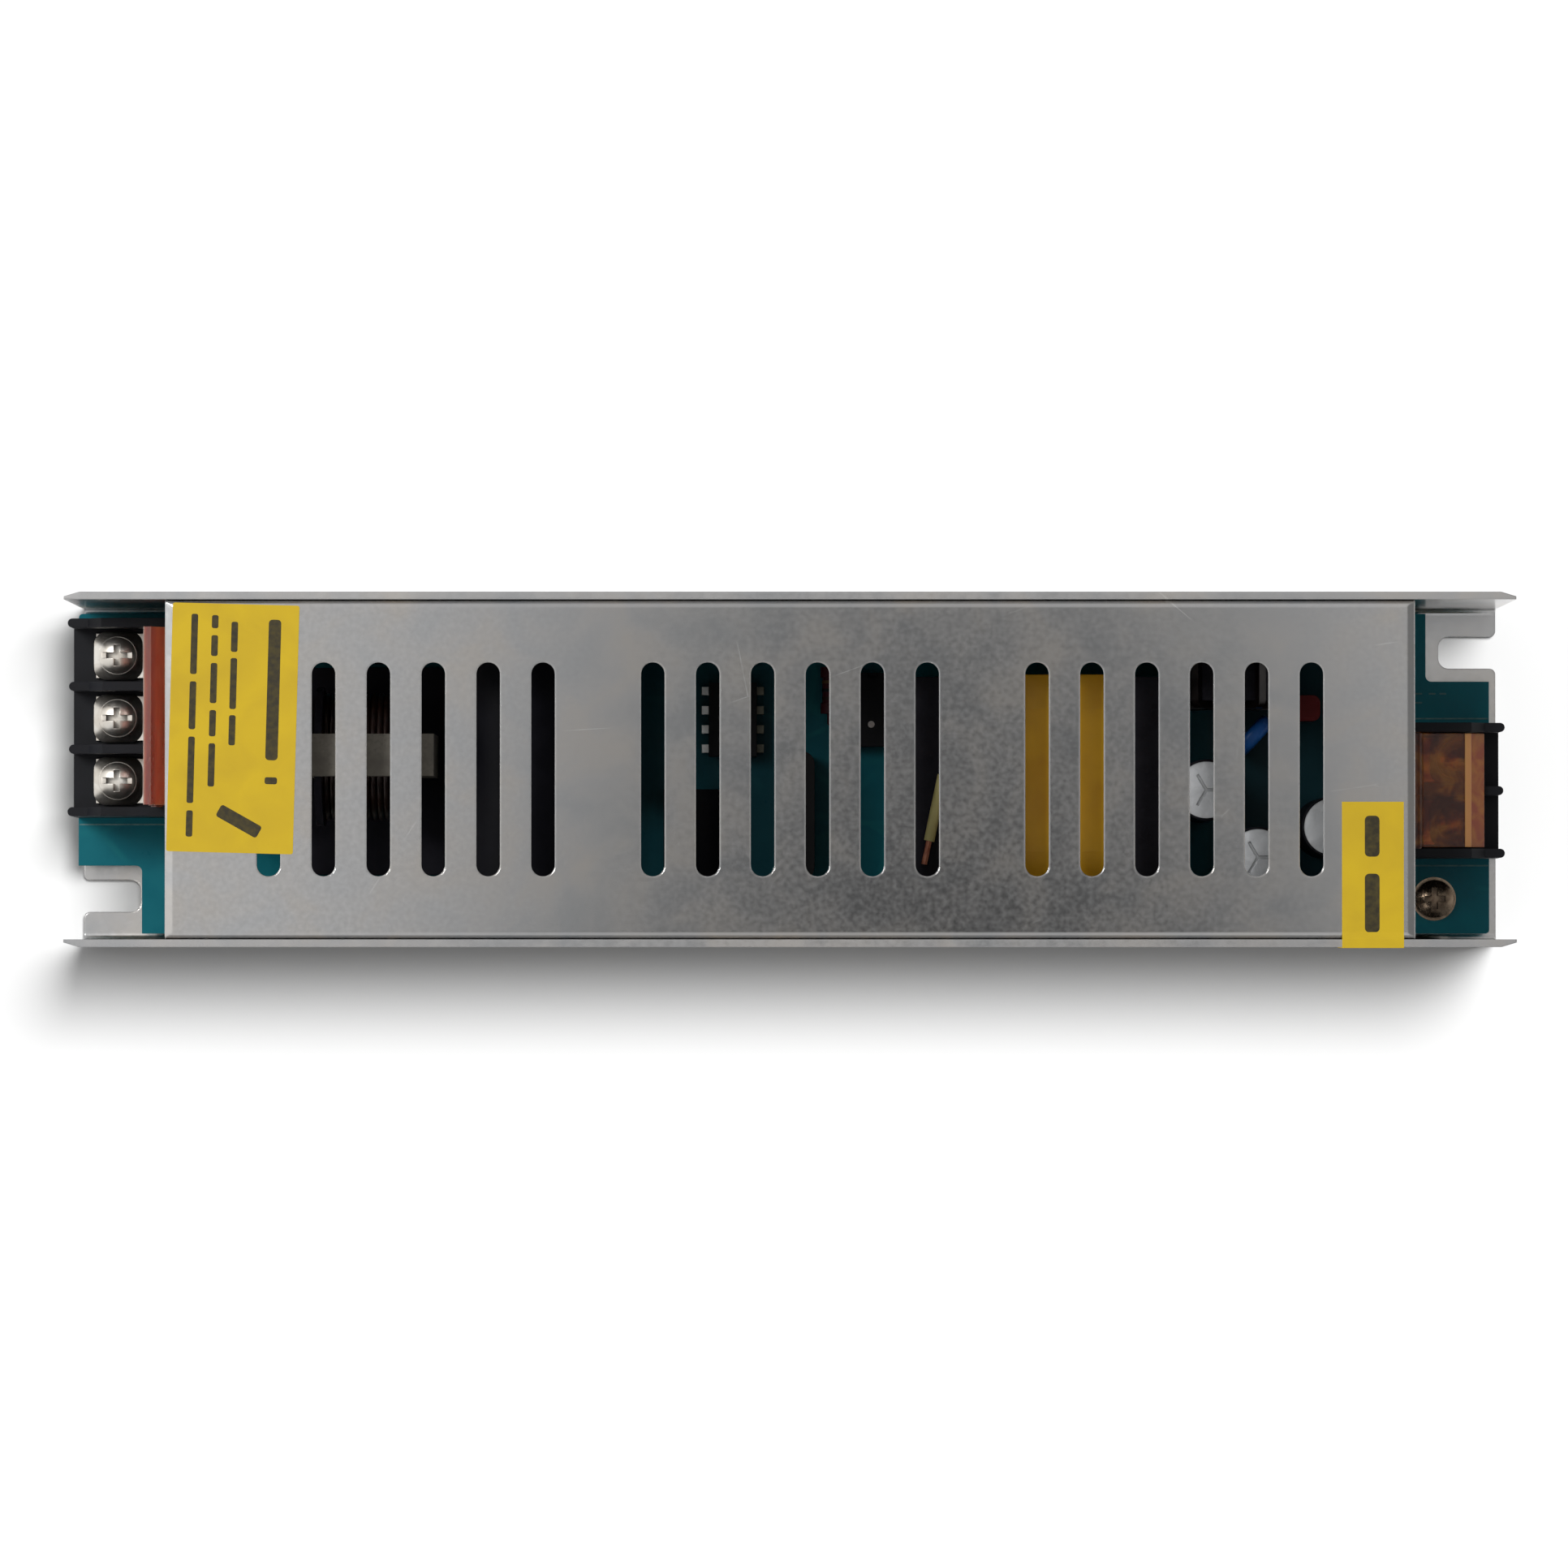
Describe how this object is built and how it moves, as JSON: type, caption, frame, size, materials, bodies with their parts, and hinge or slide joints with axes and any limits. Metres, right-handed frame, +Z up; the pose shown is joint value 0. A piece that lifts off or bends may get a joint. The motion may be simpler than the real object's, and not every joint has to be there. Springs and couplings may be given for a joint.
{
  "type": "dc power supply",
  "caption": "Slim open-ended switching DC supply: folded aluminium channel, slotted cover and barrier terminal blocks with hinged amber lids at both ends.",
  "frame": {"origin": "middle of the underside of the base channel", "axes": "+X along the case towards the output terminals, +Y across it, +Z up"},
  "size_m": [0.1887, 0.0461, 0.0361],
  "materials": {
    "channel": "satin",
    "cover": "satin",
    "fasteners": "bright",
    "label": "satin",
    "board": "gloss",
    "insulation": "matte",
    "terminal_plastic": "satin",
    "terminal_lid": "clear amber",
    "plating": "bright",
    "fuse": "matte",
    "line_cap": "gloss",
    "dark_dip": "gloss",
    "ferrite": "matte",
    "choke_ferrite": "matte",
    "bobbin": "matte",
    "copper": "enamelled",
    "moulding": "matte",
    "can": "bright",
    "sleeve": "gloss",
    "resistor": "gloss",
    "pad": "matte",
    "tape": "satin",
    "lead_sleeve": "satin",
    "disc": "gloss",
    "snubber": "gloss"
  },
  "bodies": {
    "supply": {"base_channel": "channel", "vented_cover": "cover", "cover_screws": "fasteners", "board_screws": "fasteners", "package_screws": "fasteners", "package_nuts": "fasteners", "board_standoffs": "fasteners", "large_label": "label", "seal_label": "label", "circuit_board": "board", "insulation_sheet": "insulation", "input_terminal_body": "terminal_plastic", "output_terminal_body": "terminal_plastic", "input_contacts": "plating", "output_contacts": "plating", "component_leads": "plating", "fuse_caps": "plating", "fuse_tube": "fuse", "line_capacitor": "line_cap", "inrush_limiter": "dark_dip", "film_capacitor": "dark_dip", "transformer_core": "ferrite", "output_choke_core": "ferrite", "choke_core": "choke_ferrite", "choke_bobbin": "bobbin", "transformer_bobbin": "bobbin", "choke_windings": "copper", "transformer_winding": "copper", "output_choke_winding": "copper", "lead_wire": "copper", "bridge_rectifier": "moulding", "controller_ic": "moulding", "optocoupler": "moulding", "power_transistor": "moulding", "output_rectifiers": "moulding", "bulk_capacitor": "can", "control_capacitor": "can", "output_capacitors": "can", "bulk_sleeve": "sleeve", "control_sleeve": "sleeve", "output_sleeves": "sleeve", "resistors": "resistor", "package_pads": "pad", "transformer_tape": "tape", "lead_sleeve": "lead_sleeve", "safety_capacitor": "disc", "snubber_capacitor": "snubber"},
    "input_lid": {"input_lid": "terminal_lid"},
    "output_lid": {"output_lid": "terminal_lid"},
    "input_clamp_1": {"input_clamp_1": "plating"},
    "input_screw_1": {"input_screw_1": "plating"},
    "input_clamp_2": {"input_clamp_2": "plating"},
    "input_screw_2": {"input_screw_2": "plating"},
    "input_clamp_3": {"input_clamp_3": "plating"},
    "input_screw_3": {"input_screw_3": "plating"},
    "output_clamp_1": {"output_clamp_1": "plating"},
    "output_screw_1": {"output_screw_1": "plating"},
    "output_clamp_2": {"output_clamp_2": "plating"},
    "output_screw_2": {"output_screw_2": "plating"}
  },
  "joints": [
    {"name": "input_lid_hinge", "type": "hinge", "parent": "supply", "child": "input_lid", "pos_m": [-0.083, 0.00713, 0.0206], "axis": [0, -1, 0], "range_deg": [0, 98]},
    {"name": "output_lid_hinge", "type": "hinge", "parent": "supply", "child": "output_lid", "pos_m": [0.082, -0.00245, 0.0206], "axis": [0, -1, 0], "range_deg": [0, 98]},
    {"name": "input_clamp_1_lift", "type": "slide", "parent": "supply", "child": "input_clamp_1", "axis": [0, 0, 1], "range_m": [0, 0.002]},
    {"name": "input_screw_1_turn", "type": "hinge", "parent": "input_clamp_1", "child": "input_screw_1", "pos_m": [-0.0885, 0.01537, 0.0152], "axis": [0, 0, 1], "range_deg": [0, 1440]},
    {"name": "input_clamp_2_lift", "type": "slide", "parent": "supply", "child": "input_clamp_2", "axis": [0, 0, 1], "range_m": [0, 0.002]},
    {"name": "input_screw_2_turn", "type": "hinge", "parent": "input_clamp_2", "child": "input_screw_2", "pos_m": [-0.0885, 0.00713, 0.0152], "axis": [0, 0, 1], "range_deg": [0, 1440]},
    {"name": "input_clamp_3_lift", "type": "slide", "parent": "supply", "child": "input_clamp_3", "axis": [0, 0, 1], "range_m": [0, 0.002]},
    {"name": "input_screw_3_turn", "type": "hinge", "parent": "input_clamp_3", "child": "input_screw_3", "pos_m": [-0.0885, -0.00112, 0.0152], "axis": [0, 0, 1], "range_deg": [0, 1440]},
    {"name": "output_clamp_1_lift", "type": "slide", "parent": "supply", "child": "output_clamp_1", "axis": [0, 0, 1], "range_m": [0, 0.002]},
    {"name": "output_screw_1_turn", "type": "hinge", "parent": "output_clamp_1", "child": "output_screw_1", "pos_m": [0.0875, -0.00658, 0.0152], "axis": [0, 0, 1], "range_deg": [0, 1440]},
    {"name": "output_clamp_2_lift", "type": "slide", "parent": "supply", "child": "output_clamp_2", "axis": [0, 0, 1], "range_m": [0, 0.002]},
    {"name": "output_screw_2_turn", "type": "hinge", "parent": "output_clamp_2", "child": "output_screw_2", "pos_m": [0.0875, 0.00168, 0.0152], "axis": [0, 0, 1], "range_deg": [0, 1440]}
  ],
  "couplings": [
    {"joint": "input_screw_1_turn", "follows": "input_clamp_1_lift", "rad_per_m": 12560},
    {"joint": "input_screw_2_turn", "follows": "input_clamp_2_lift", "rad_per_m": 12560},
    {"joint": "input_screw_3_turn", "follows": "input_clamp_3_lift", "rad_per_m": 12560},
    {"joint": "output_screw_1_turn", "follows": "output_clamp_1_lift", "rad_per_m": 12560},
    {"joint": "output_screw_2_turn", "follows": "output_clamp_2_lift", "rad_per_m": 12560}
  ]
}
